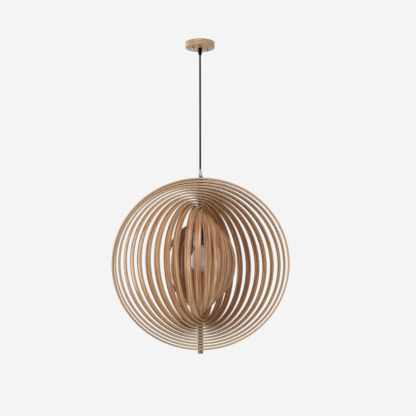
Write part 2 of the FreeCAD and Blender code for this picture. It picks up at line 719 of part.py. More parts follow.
def check_document():
    """Stop if any object failed or any sub-part has no valid solid."""
    for thing in DOC.Objects:
        if "Invalid" in thing.State or "Error" in thing.State:
            raise RuntimeError("%s failed: %s" % (thing.Name, thing.State))
    for thing in NODES:
        if thing.Shape.isNull() or not thing.Shape.isValid() or not thing.Shape.Solids:
            raise RuntimeError("%s has no valid solid" % thing.Label)


def main():
    """Build every sub-part and write its file."""
    fill_sheet()
    make_canopy()
    make_plate()
    make_studs()
    make_terminal_block()
    make_canopy_grip()
    make_cord()
    make_cores()
    make_stem_grip()
    make_rings()
    make_spacers()
    make_stem()
    make_bottom_rod()
    make_lampholder()
    make_bulb_cap()
    make_bulb_glass()
    make_filament()
    DOC.recompute()
    check_document()
    os.makedirs("parts", exist_ok=True)
    for thing in NODES:
        thing.Shape.exportStep("parts/%s.step" % thing.Label)
        box = thing.Shape.BoundBox
        print("%-24s solids %2d  volume %10.1f  z %8.2f to %8.2f" % (
            thing.Label, len(thing.Shape.Solids), thing.Shape.Volume, box.ZMin, box.ZMax))


main()
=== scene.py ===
"""Looks of the wood ring pendant light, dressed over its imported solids."""

import logging
import math
from dataclasses import dataclass, field
from enum import Enum
from typing import Any, Callable, Sequence

import bmesh
import bpy
from mathutils import Matrix, Vector


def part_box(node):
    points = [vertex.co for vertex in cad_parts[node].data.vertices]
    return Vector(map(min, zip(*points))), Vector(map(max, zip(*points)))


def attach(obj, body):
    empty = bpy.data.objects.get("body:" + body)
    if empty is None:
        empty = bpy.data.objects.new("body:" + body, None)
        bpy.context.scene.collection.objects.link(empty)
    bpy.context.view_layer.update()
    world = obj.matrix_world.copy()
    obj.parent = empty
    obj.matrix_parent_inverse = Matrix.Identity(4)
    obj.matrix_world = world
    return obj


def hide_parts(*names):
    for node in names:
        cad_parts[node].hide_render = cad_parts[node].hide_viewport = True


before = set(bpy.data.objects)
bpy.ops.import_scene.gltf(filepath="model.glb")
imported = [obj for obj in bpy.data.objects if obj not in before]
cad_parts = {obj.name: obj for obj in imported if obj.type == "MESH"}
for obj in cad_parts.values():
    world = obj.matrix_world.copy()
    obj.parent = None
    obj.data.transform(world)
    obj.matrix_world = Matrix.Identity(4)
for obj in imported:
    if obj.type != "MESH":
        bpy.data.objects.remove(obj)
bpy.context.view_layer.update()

LOG = logging.getLogger("ring_pendant")
BODY = "fitting"
STEM_BORE = 0.00405
NUT_STEPS = 8
NUT_FACE = 0.97
NUT_CHAMFER = 30.0
NUT_CREASE = 25.0
FULL_TURN = 2 * math.pi

Colour = tuple[float, float, float, float]
Spot = tuple[float, float, float]
Corner = tuple[float, ...]
Fade = tuple[float, float]
Stops = Sequence[tuple[float, Colour]]
Inputs = dict[int | str, Any]
Piece = bpy.types.Object
Shape = bmesh.types.BMesh
Ring = list[bmesh.types.BMVert]


def shade(*levels: int) -> Colour:
    """Turn a screen colour into the linear one that shaders take.

    Args:
        levels: Screen red, green and blue, 0 to 255.

    Returns:
        The linear colour with full alpha.
    """
    parts = [level / 255 for level in levels]
    red, green, blue = (part / 12.92 if part <= 0.04045 else ((part + 0.055) / 1.055) ** 2.4
                        for part in parts)
    return red, green, blue, 1.0


def scaled(colour: Colour, gain: float, lift: float = 0.0) -> Colour:
    """Make a linear colour lighter or darker, by a factor and a lift on each part."""
    red, green, blue = (min(1.0, part * gain + lift) for part in colour[:3])
    return red, green, blue, 1.0


class Slot(Enum):
    """Material slots of the part's record."""

    HOOP = "hoop_wood"
    CANOPY = "canopy_wood"
    NUTS = "chrome_nuts"
    GRIP = "black_grip"
    CORD = "black_cord"
    CONE = "pale_grip"
    STEEL = "dark_steel"
    END = "grey_nut"
    HOLDER = "black_holder"
    BULB = "frosted_glass"


class Fillet(float, Enum):
    """Radii of rounded edges, in metres, from a broken edge up."""

    BROKEN = 0.0002
    FINE = 0.0003
    SMALL = 0.0004
    CONE = 0.0005
    RIM = 0.0006
    LIP = 0.0008
    ROUND = 0.0010
    DOME = 0.0012
    CUP = 0.0015
    DOME_TIP = 0.0016
    INNER = 0.0020
    NECK = 0.0025
    GRIP = 0.0035
    BULB = 0.004
    SHOULDER = 0.0050
    TAPER = 0.0060


class Pole(Enum):
    """The two ends of the hoops' upright axis."""

    UPPER = 1.0
    LOWER = -1.0


# Node trees


def math_node(operation: str, swapped: bool = False) -> Callable[..., "Wire"]:
    """Make a method of Wire that adds a math node.

    Args:
        operation: What the node does.
        swapped: Whether the wire is the node's second value.

    Returns:
        The method.
    """
    def method(wire: "Wire", other: Any = 0.0) -> "Wire":
        """Math node on the wire and another value."""
        first, second = (other, wire) if swapped else (wire, other)
        return wire.graph.node("ShaderNodeMath", {"operation": operation}, {0: first, 1: second})

    return method


@dataclass
class Wire:
    """A node's output that stands in Python expressions on values."""

    graph: "Graph"
    socket: bpy.types.NodeSocket

    __add__ = math_node("ADD")
    __radd__ = math_node("ADD", swapped=True)
    __sub__ = math_node("SUBTRACT")
    __rsub__ = math_node("SUBTRACT", swapped=True)
    __mul__ = math_node("MULTIPLY")
    __rmul__ = math_node("MULTIPLY", swapped=True)
    __truediv__ = math_node("DIVIDE")
    __pow__ = math_node("POWER")
    __abs__ = math_node("ABSOLUTE")
    sine = math_node("SINE")
    root = math_node("SQRT")

    def ramp_up(self, low: float, high: float) -> "Wire":
        """Smooth step from 0 at low to 1 at high, which runs down where high is below low."""
        return self.graph.node("ShaderNodeMapRange", {"interpolation_type": "SMOOTHSTEP"},
                               {"Value": self, "From Min": low, "From Max": high})


@dataclass(frozen=True)
class Tint:
    """A colour laid over another, and its strength where its mask is full."""

    share: float
    colour: Colour


@dataclass
class Graph:
    """Builds the nodes of one tree."""

    tree: bpy.types.NodeTree
    noise_roughness: float = 0.55

    def node(self, kind: str, settings: dict[str, Any] | None = None,
             sockets: Inputs | None = None, out: int | str = 0) -> Wire:
        """Add a node.

        Args:
            kind: The node's type.
            settings: Properties of the node, set first; stops are a ramp's colours, in rising order.
            sockets: Values or wires of the inputs, by name or number.
            out: The output to give back.

        Returns:
            That output.
        """
        made = self.tree.nodes.new(kind)
        for name, value in (settings or {}).items():
            if name == "stops":
                elements = made.color_ramp.elements
                for level, _ in value[2:]:
                    elements.new(level)
                for element, (level, colour) in zip(elements, value):
                    element.position = level
                    element.color = colour
            else:
                setattr(made, name, value)
        self.fill(made, sockets or {})
        return Wire(self, made.outputs[out] if made.outputs else None)

    def fill(self, node: bpy.types.Node, sockets: Inputs) -> None:
        """Set or link inputs of a node.

        Args:
            node: The node.
            sockets: Values or wires of the inputs, by name or number.
        """
        for name, value in sockets.items():
            if isinstance(value, Wire):
                self.tree.links.new(value.socket, node.inputs[name])
            else:
                node.inputs[name].default_value = value

    def on_object(self) -> Wire:
        """Place on the piece, in Object coordinates."""
        return self.node("ShaderNodeTexCoord", out="Object")

    def split(self, vector: Wire) -> tuple[Wire, Wire, Wire]:
        """The three parts of a vector."""
        parts = self.node("ShaderNodeSeparateXYZ", sockets={"Vector": vector}).socket.node.outputs
        return Wire(self, parts[0]), Wire(self, parts[1]), Wire(self, parts[2])

    def vector(self, x: Any, y: Any, z: Any) -> Wire:
        """A vector of three values."""
        return self.node("ShaderNodeCombineXYZ", sockets={"X": x, "Y": y, "Z": z})

    def noise(self, vector: Wire, scale: float = 1.0, detail: float = 2.0) -> Wire:
        """Noise of 0 to 1 at a vector."""
        return self.node("ShaderNodeTexNoise", sockets={
            "Vector": vector, "Scale": scale, "Detail": detail,
            "Roughness": self.noise_roughness}, out="Fac")

    def ramp(self, value: Wire, stops: Stops) -> Wire:
        """Colour ramp over a value."""
        return self.node("ShaderNodeValToRGB", {"stops": stops}, {"Fac": value}, "Color")

    def blend(self, factor: Wire, first: Any, second: Any) -> Wire:
        """Mix two colours; the factor is the share of the second."""
        return self.node("ShaderNodeMix", {"data_type": "RGBA", "blend_type": "MIX"},
                         {0: factor, 6: first, 7: second}, 2)

    def tint(self, mask: Wire, under: Any, over: Tint) -> Wire:
        """Lay a tint over a colour where a mask is."""
        return self.blend(mask * over.share, under, over.colour)

    def bump(self, height: Wire, strength: float, depth: float) -> Wire:
        """Normal of a relief: its height of 0 to 1, the share that shows, and its depth in metres."""
        return self.node("ShaderNodeBump", sockets={
            "Strength": strength, "Distance": depth, "Height": height}, out="Normal")


# Finishes


@dataclass(frozen=True)
class Finish:
    """A finish of the light: its name, and how its surface is painted."""

    name: str

    def material(self) -> bpy.types.Material:
        """Make the finish's material at its first use.

        Returns:
            The material.
        """
        made = bpy.data.materials.get(self.name)
        if made is None:
            made = bpy.data.materials.new(self.name)
            made.use_nodes = True
            graph = Graph(made.node_tree)
            graph.fill(made.node_tree.nodes["Principled BSDF"], self.paint(graph))
        return made

    def paint(self, graph: Graph) -> Inputs:
        """Make the finish's nodes, and give the shader's inputs."""
        raise NotImplementedError


@dataclass(frozen=True)
class StripWood(Finish):
    """Bent-wood strip, lacquered outside and dull inside, with grain along it and plies on its edges."""

    half_strip: float = 0.009
    half_thickness: float = 0.0025
    lacquer_reach: float = 0.9
    edge_slant: float = 1.6
    tone_shift: float = 37.0
    rim_fade: Fade = (0.0028, 0.0006)
    edge_fade: Fade = (0.0004, 0.0001)
    ply_level: float = 0.0009
    ply_fade: Fade = (0.0005, 0.0002)
    stops: Stops = (
        (0.40, shade(115, 66, 36)), (0.46, shade(158, 105, 65)),
        (0.53, shade(187, 137, 93)), (0.60, shade(217, 176, 131)))
    hoop_tone: Tint = Tint(0.35, shade(156, 103, 64))
    pore: Tint = Tint(0.4, shade(98, 60, 33))
    dark_rim: Tint = Tint(0.6, shade(100, 60, 33))
    pale_edge: Tint = Tint(0.8, shade(213, 181, 139))
    ply_line: Tint = Tint(0.5, shade(92, 58, 33))

    def paint(self, graph: Graph) -> Inputs:
        """Let the grain follow the hoop through the strip's own attributes.

        Args:
            graph: The material's nodes.

        Returns:
            The shader's inputs.
        """
        around, section, tone = (
            graph.node("ShaderNodeAttribute", {"attribute_name": label}, out=out)
            for label, out in (("around", "Vector"), ("section", "Vector"), ("tone", "Fac")))
        east, north, _ = graph.split(around)
        depth, across, _ = graph.split(section)
        side = across + depth * self.edge_slant

        def fibre(turns: float, lines: float, detail: float) -> Wire:
            """Streaks along the strip: turns of pattern round the hoop, and lines per metre."""
            spot = graph.vector(east * turns, north * turns, side * lines + tone * self.tone_shift)
            return graph.noise(spot, detail=detail)

        def from_edge(fade: Fade) -> Wire:
            """Mask that rises towards the strip's edges, between two distances from them."""
            return abs(across).ramp_up(self.half_strip - fade[0], self.half_strip - fade[1])

        broad = fibre(turns=1.3, lines=270.0, detail=2.0)
        fine = fibre(turns=4.0, lines=1300.0, detail=3.0)
        pores = fibre(turns=30.0, lines=2300.0, detail=2.0).ramp_up(0.58, 0.70)
        edge = from_edge(self.edge_fade)
        plies = abs(abs(depth) - self.ply_level).ramp_up(*self.ply_fade)
        colour = graph.ramp(broad * 0.64 + fine * 0.36, self.stops)
        for mask, over in ((tone, self.hoop_tone), (pores, self.pore),
                           (from_edge(self.rim_fade), self.dark_rim), (edge, self.pale_edge),
                           (plies * edge, self.ply_line)):
            colour = graph.tint(mask, colour, over)
        reach = self.half_thickness * self.lacquer_reach
        outside = depth.ramp_up(-reach, reach)
        return {
            "Base Color": colour, "Roughness": 0.60 - outside * 0.20 + fine * 0.16,
            "Coat Weight": 0.14 + outside * 0.42, "Coat Roughness": 0.16, "Specular IOR Level": 0.25,
            "Normal": graph.bump(fine * 0.7 - pores * 0.6, strength=0.25, depth=0.0002)}


@dataclass(frozen=True)
class TurnedWood(Finish):
    """Plain lacquered wood, turned from a board whose grain runs along X."""

    pith_side: float = -0.11
    pith_height: float = 0.07
    ring_pitch: float = 0.0034
    ring_drift: float = 0.006
    stops: Stops = (
        (0.22, shade(134, 92, 54)), (0.50, shade(175, 134, 91)), (0.80, shade(207, 171, 129)))

    def paint(self, graph: Graph) -> Inputs:
        """Lay growth rings round a pith beside the board, with fibres along it.

        Args:
            graph: The material's nodes.

        Returns:
            The shader's inputs.
        """
        x, y, z = graph.split(graph.on_object())

        def streaks(along: float, across: float) -> Wire:
            """Noise drawn out along the board."""
            return graph.noise(graph.vector(x * along, y * across, z * across), detail=3.0)

        drift = streaks(along=9.0, across=30.0)
        fibres = streaks(along=40.0, across=900.0)
        reach = ((y - self.pith_side) ** 2.0 + (z - self.pith_height) ** 2.0).root()
        turns = (reach + drift * self.ring_drift) * (FULL_TURN / self.ring_pitch)
        rings = turns.sine() * 0.5 + 0.5
        colour = graph.ramp(rings * 0.34 + fibres * 0.36 + drift * 0.30, self.stops)
        return {
            "Base Color": colour, "Roughness": 0.40 + fibres * 0.16,
            "Coat Weight": 0.5, "Coat Roughness": 0.2,
            "Normal": graph.bump(fibres * 0.7 + rings * 0.3, strength=0.2, depth=0.0002)}


@dataclass(frozen=True)
class Metal(Finish):
    """Bare or plated metal, with faint turning marks and any thread along the axis."""

    colour: Colour
    roughness: float = 0.3
    marks: float = 900.0
    thread_pitch: float = 0.0
    wear: float = 60.0
    dulling: float = 0.62

    def paint(self, graph: Graph) -> Inputs:
        """Run the marks round the axis; a thread shows as even rings.

        Args:
            graph: The material's nodes.

        Returns:
            The shader's inputs.
        """
        here = graph.on_object()
        x, y, z = graph.split(here)
        worn = graph.noise(here, self.wear, detail=3.0)
        reach = (x * x + y * y).root()
        turned = graph.noise(graph.vector(reach * self.marks, z * self.marks, worn))
        colour = graph.blend(worn.ramp_up(0.35, 0.75), self.colour, scaled(self.colour, self.dulling))
        height = turned * 0.5
        if self.thread_pitch:
            height = (z * (FULL_TURN / self.thread_pitch)).sine() * 2.0 + height
        return {
            "Base Color": colour, "Metallic": 1.0,
            "Roughness": self.roughness + worn * 0.14 + turned * 0.08 - 0.08,
            "Normal": graph.bump(height, strength=0.3, depth=0.0001)}


@dataclass(frozen=True)
class Moulded(Finish):
    """Moulded plastic with a faint mould grain."""

    colour: Colour
    roughness: float = 0.4
    grain: float = 2500.0
    coat: float = 0.0
    gloss: float = 0.5
    handling: float = 70.0

    def paint(self, graph: Graph) -> Inputs:
        """Put handling marks and a fine skin on an even colour.

        Args:
            graph: The material's nodes.

        Returns:
            The shader's inputs.
        """
        here = graph.on_object()
        skin = graph.noise(here, self.grain)
        handled = graph.noise(here, self.handling, detail=3.0)
        rubbed = Tint(0.6, scaled(self.colour, gain=1.3, lift=0.004))
        colour = graph.tint(handled.ramp_up(0.35, 0.8), self.colour, rubbed)
        return {
            "Base Color": colour, "Coat Weight": self.coat, "Coat Roughness": 0.1,
            "Specular IOR Level": self.gloss, "Roughness": self.roughness + handled * 0.12 - 0.05,
            "Normal": graph.bump(skin, strength=0.15, depth=0.00006)}


@dataclass(frozen=True)
class Sheath(Finish):
    """Black cord sheath, drawn lengthwise, with a satin skin."""

    colour: Colour
    dust: Tint = Tint(0.3, shade(40, 32, 29))
    drawn_lines: float = 2600.0
    drawn_length: float = 24.0

    def paint(self, graph: Graph) -> Inputs:
        """Draw lines along the cord, and put dust on its skin.

        Args:
            graph: The material's nodes.

        Returns:
            The shader's inputs.
        """
        here = graph.on_object()
        x, y, z = graph.split(here)
        lines = self.drawn_lines
        drawn = graph.noise(graph.vector(x * lines, y * lines, z * self.drawn_length))
        dusty = graph.noise(here, scale=220.0, detail=4.0).ramp_up(0.5, 0.8)
        return {
            "Base Color": graph.tint(dusty, self.colour, self.dust),
            "Specular IOR Level": 0.08, "Roughness": 0.55 + dusty * 0.2,
            "Normal": graph.bump(drawn, strength=0.2, depth=0.0001)}


@dataclass(frozen=True)
class Frosted(Finish):
    """Inside-frosted bulb glass."""

    colour: Colour

    def paint(self, graph: Graph) -> Inputs:
        """Put a clouded white coating under a smooth glass skin.

        Args:
            graph: The material's nodes.

        Returns:
            The shader's inputs.
        """
        here = graph.on_object()
        cloud = graph.noise(here, scale=45.0, detail=3.0)
        speck = graph.noise(here, scale=1800.0)
        dim = Tint(0.6, scaled(self.colour, gain=0.93))
        colour = graph.tint(cloud.ramp_up(0.3, 0.8), self.colour, dim)
        return {
            "Base Color": colour, "Roughness": 0.30 + speck * 0.12,
            "Coat Weight": 0.5, "Coat Roughness": 0.08,
            "Normal": graph.bump(speck, strength=0.08, depth=0.00005)}


@dataclass(frozen=True)
class ClearGlass(Finish):
    """Clear glass of the mount inside the bulb."""

    colour: Colour

    def paint(self, graph: Graph) -> Inputs:
        """Clear body with faint drawing marks."""
        drawn = graph.noise(graph.on_object(), scale=300.0)
        return {
            "Base Color": self.colour, "Transmission Weight": 1.0, "Roughness": drawn * 0.1}


HOOP_WOOD = StripWood("hoop_strip_wood")
CANOPY_WOOD = TurnedWood("canopy_turned_wood")
ZINC = Metal("zinc_steel", shade(176, 180, 184), 0.36)
BRIGHT_NUT = Metal("bright_cap_nut", shade(178, 178, 176), 0.16)
DARK_STEEL = Metal("dark_spacer_steel", shade(132, 134, 148), 0.24)
THREADED_STEEL = Metal("threaded_steel", shade(126, 122, 118), 0.34, thread_pitch=0.001)
END_NUT_STEEL = Metal("satin_end_nut", shade(118, 118, 119), 0.36)
BRASS = Metal("contact_brass", shade(206, 170, 96), 0.3)
CAP_METAL = Metal("bulb_cap_aluminium", shade(196, 198, 200), 0.28, thread_pitch=0.0036)
FILAMENT = Metal("filament_wire", shade(120, 120, 124), 0.4)
GRIP_BLACK = Moulded("grip_black", shade(12, 8, 7), 0.42, gloss=0.12)
HOLDER_BLACK = Moulded("holder_black", shade(16, 14, 14), 0.14, coat=0.9)
WHITE_MOULDING = Moulded("white_moulding", shade(226, 224, 218), 0.45)
CORE_SKIN = Moulded("core_skin", shade(92, 60, 40), 0.4)
CONE_PLASTIC = Moulded("pale_cone", shade(168, 166, 170), 0.28, coat=0.3)
CORD_SHEATH = Sheath("cord_sheath", shade(14, 10, 9))
BULB_WHITE = Frosted("bulb_frost", shade(246, 243, 255))
MOUNT_GLASS = ClearGlass("mount_glass", shade(244, 246, 248))

KEPT_NODES: dict[Finish, tuple[str, ...]] = {
    ZINC: ("mounting_plate", "canopy_studs", "terminal_screws"),
    WHITE_MOULDING: ("terminal_block", "lampholder_insert"),
    GRIP_BLACK: ("cord_grip_locknut", "bulb_cap_insulator"),
    CORD_SHEATH: ("cord_upper_end", "cord_lower_end"),
    CORE_SKIN: ("cord_cores",),
    THREADED_STEEL: ("stem_tube", "bottom_rod"),
    BRASS: ("lampholder_screw_sleeve", "lampholder_contact", "bulb_tip_contact"),
    CAP_METAL: ("bulb_cap",),
    MOUNT_GLASS: ("bulb_mount_stem",),
    FILAMENT: ("bulb_filament",),
}


# Mesh making


@dataclass
class Outline:
    """Half section of a turned piece: a loop of (radius, height), with a fillet at rounded corners."""

    corners: Sequence[Corner]
    arc_steps: int = 5
    longest_trim: float = 0.49
    pole_radius: float = 1e-7

    def points(self) -> list[Vector]:
        """Round the loop's corners.

        Returns:
            The loop as (radius, height) vectors.
        """
        spots = [Vector(corner[:2]) for corner in self.corners]
        loop: list[Vector] = []
        for number, spot in enumerate(spots):
            fillet = self.corners[number][2:]
            if not fillet:
                loop.append(spot)
                continue
            back = spots[number - 1] - spot
            ahead = spots[(number + 1) % len(spots)] - spot
            half = back.angle(ahead) / 2
            trim = min(fillet[0] / math.tan(half), self.longest_trim * min(back.length, ahead.length))
            start = spot + back.normalized() * trim
            end = spot + ahead.normalized() * trim
            for step in range(self.arc_steps + 1):
                share = step / self.arc_steps
                loop.append(start.lerp(spot, share).lerp(spot.lerp(end, share), share))
        return loop

    def turn(self, shape: Shape, sides: int) -> None:
        """Turn the loop about the upright axis into a closed shell.

        Args:
            shape: Where the shell goes.
            sides: Steps round the axis.
        """
        angles = [FULL_TURN * step / sides for step in range(sides)]
        rings: list[Ring] = []
        for point in self.points():
            if point.x < self.pole_radius:
                rings.append([shape.verts.new((0.0, 0.0, point.y))])
                continue
            rings.append([
                shape.verts.new((point.x * math.cos(angle), point.x * math.sin(angle), point.y))
                for angle in angles])
        for number, ring in enumerate(rings):
            join_rings(shape, rings[number - 1], ring)


def join_rings(shape: Shape, first: Ring, second: Ring) -> None:
    """Span two rings with faces; a ring of one vertex is a pole.

    Args:
        shape: The shape that holds them.
        first: One ring.
        second: The other ring.
    """
    sides = max(len(first), len(second))
    if sides == 1:
        return
    for step in range(sides):
        after = (step + 1) % sides
        corners = [first[step % len(first)], first[after % len(first)],
                   second[after % len(second)], second[step % len(second)]]
        shape.faces.new(list(dict.fromkeys(corners)))


def hex_nut(shape: Shape, flats: float, bore: float, foot: float, top: float) -> None:
    """Hexagonal nut with its corners chamfered at both faces.

    Args:
        shape: Where the nut goes.
        flats: Size across the flats.
        bore: Radius of the hole.
        foot: Height of the lower face.
        top: Height of the upper face.
    """
    inscribed = flats / 2
    face = inscribed * NUT_FACE
    sixth = math.radians(60)
    slope = math.tan(math.radians(NUT_CHAMFER))
    rings: list[Ring] = [[] for _ in range(6)]
    for step in range(6 * NUT_STEPS):
        angle = sixth * step / NUT_STEPS
        reach = inscribed / math.cos(angle % sixth - sixth / 2)
        drop = (reach - face) * slope
        levels = ((bore, foot), (face, foot), (reach, foot + drop),
                  (reach, top - drop), (face, top), (bore, top))
        for ring, (radius, height) in zip(rings, levels):
            ring.append(shape.verts.new((radius * math.cos(angle), radius * math.sin(angle), height)))
    for first, second in zip(rings, rings[1:] + rings[:1]):
        join_rings(shape, first, second)


def link_object(name: str, data: bpy.types.ID) -> Piece:
    """Make an object of its data and link it to the scene.

    Args:
        name: Name of the object.
        data: Its mesh, curve, light or camera.

    Returns:
        The linked object.
    """
    made = bpy.data.objects.new(name, data)
    bpy.context.scene.collection.objects.link(made)
    return made


def to_object(name: str, shape: Shape, finish: Finish, sharp: float = 35.0) -> Piece:
    """Make an object of a shape.

    Args:
        name: Name of the piece.
        shape: The shape, which is freed.
        finish: Its finish.
        sharp: Edges over this angle, in degrees, stay sharp.

    Returns:
        The linked object.
    """
    bmesh.ops.recalc_face_normals(shape, faces=shape.faces)
    mesh = bpy.data.meshes.new(name)
    shape.to_mesh(mesh)
    shape.free()
    mesh.shade_smooth()
    mesh.set_sharp_from_angle(angle=math.radians(sharp))
    mesh.materials.append(finish.material())
    return link_object(name, mesh)


def round_box(node: str) -> tuple[float, float, float]:
    """Radius, lowest level and highest level of a round solid on the axis."""
    low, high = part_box(node)
    return high.x, low.z, high.z


def place(piece: Piece, node: str, body: str = BODY) -> None:
    """Set a finished piece on its body, in the place of a solid.

    Args:
        piece: The piece.
        node: The solid that it stands for.
        body: The body that it rides on.
    """
    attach(piece, body)
    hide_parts(node)
    LOG.info("%s stands for %s on %s", piece.name, node, body)


def turned_piece(name: str, finish: Finish, node: str, corners: Sequence[Corner],
                 sides: int = 72) -> None:
    """Make a piece turned from one outline, in the place of a solid of the fixed body.

    Args:
        name: Name of the piece.
        finish: Its finish.
        node: The solid that it stands for.
        corners: Loop of (radius, height), with a fillet at rounded corners.
        sides: Steps round the axis.
    """
    shape = bmesh.new()
    Outline(corners).turn(shape, sides)
    place(to_object(name, shape, finish), node)


@dataclass
class GeometryTree:
    """A Geometry Nodes tree with named sizes as its inputs."""

    name: str
    sizes: Sequence[str]
    crease: float = 0.7
    edge_arc: int = 3
    tree: bpy.types.NodeTree = field(init=False)
    graph: Graph = field(init=False)
    source: bpy.types.Node = field(init=False)

    def __post_init__(self) -> None:
        """Make the tree and its interface."""
        self.tree = bpy.data.node_groups.new(self.name, "GeometryNodeTree")
        sockets = [(label, "INPUT", "Float") for label in self.sizes]
        sockets += [("Finish", "INPUT", "Material"), ("Shape", "OUTPUT", "Geometry")]
        for label, way, kind in sockets:
            self.tree.interface.new_socket(label, in_out=way, socket_type="NodeSocket" + kind)
        self.graph = Graph(self.tree)
        self.source = self.tree.nodes.new("NodeGroupInput")

    def __getitem__(self, label: str) -> Wire:
        """One of the tree's inputs."""
        return Wire(self.graph, self.source.outputs[label])

    def add(self, kind: str, sockets: Inputs | None = None, **settings: Any) -> Wire:
        """Add a geometry node, by its type without the part that all of them share."""
        return self.graph.node("GeometryNode" + kind, settings, sockets)

    def close(self, shape: Wire) -> None:
        """End the tree: real geometry with its material.

        Args:
            shape: What the tree has made.
        """
        real = self.add("RealizeInstances", {"Geometry": shape})
        dressed = self.add("SetMaterial", {"Geometry": real, "Material": self["Finish"]})
        self.graph.node("NodeGroupOutput", sockets={"Shape": dressed})

    def swept_ring(self, half_x: Any, half_y: Any, thickness: Any, width: Any, edge: Any, steps: int,
                   cuts: int) -> Wire:
        """Oval ring in the XY plane with a rounded rectangular section.

        Args:
            half_x: Half size of the middle line along X.
            half_y: Half size of the middle line along Y.
            thickness: Radial size of the section.
            width: Size of the section along Z.
            edge: Rounding of its edges.
            steps: Points round the ring.
            cuts: Points added on each side of the section.

        Returns:
            The ring.
        """
        graph = self.graph
        circle = self.add("CurvePrimitiveCircle", {"Resolution": steps, "Radius": 1.0})
        x, y, _ = graph.split(self.add("InputPosition"))
        line = self.add("SetPosition", {
            "Geometry": circle, "Position": graph.vector(x * half_x, y * half_y, 0.0)})
        section = self.add("CurvePrimitiveQuadrilateral", {"Width": thickness, "Height": width})
        section = self.add("SubdivideCurve", {"Curve": section, "Cuts": cuts})
        section = self.add("FilletCurve", {"Curve": section, "Count": self.edge_arc, "Radius": edge,
                                           "Limit Radius": True}, mode="POLY")
        return self.add("CurveToMesh", {"Curve": line, "Profile Curve": section})

    def creased(self, shape: Wire) -> Wire:
        """Shade smooth, with sharp edges where faces meet steeply.

        Args:
            shape: The mesh.

        Returns:
            The shaded mesh.
        """
        smooth = self.add("SetShadeSmooth", {"Geometry": shape}, domain="FACE")
        bend = self.add("InputMeshEdgeAngle")
        steep = self.graph.node("FunctionNodeCompare", {"operation": "GREATER_THAN"},
                                {0: bend, 1: self.crease})
        return self.add("SetShadeSmooth", {"Geometry": smooth, "Selection": steep, "Shade Smooth": False},
                        domain="EDGE")

    def run(self, name: str, **values: Any) -> Piece:
        """Make a plain mesh object with the tree.

        Args:
            name: Name of the piece.
            values: Sizes by input name; an underscore stands for a space.

        Returns:
            The linked object, with no modifier left.
        """
        made = link_object(name, bpy.data.meshes.new(name))
        modifier = made.modifiers.new("make", "NODES")
        modifier.node_group = self.tree
        keys = {item.name: item.identifier for item in self.tree.interface.items_tree
                if item.in_out == "INPUT"}
        for label, value in values.items():
            modifier[keys[label.replace("_", " ")]] = value
        depsgraph = bpy.context.evaluated_depsgraph_get()
        mesh = bpy.data.meshes.new_from_object(
            made.evaluated_get(depsgraph), preserve_all_data_layers=True, depsgraph=depsgraph)
        made.modifiers.remove(modifier)
        made.data = mesh
        mesh.name = name
        return made


# Sub-assemblies


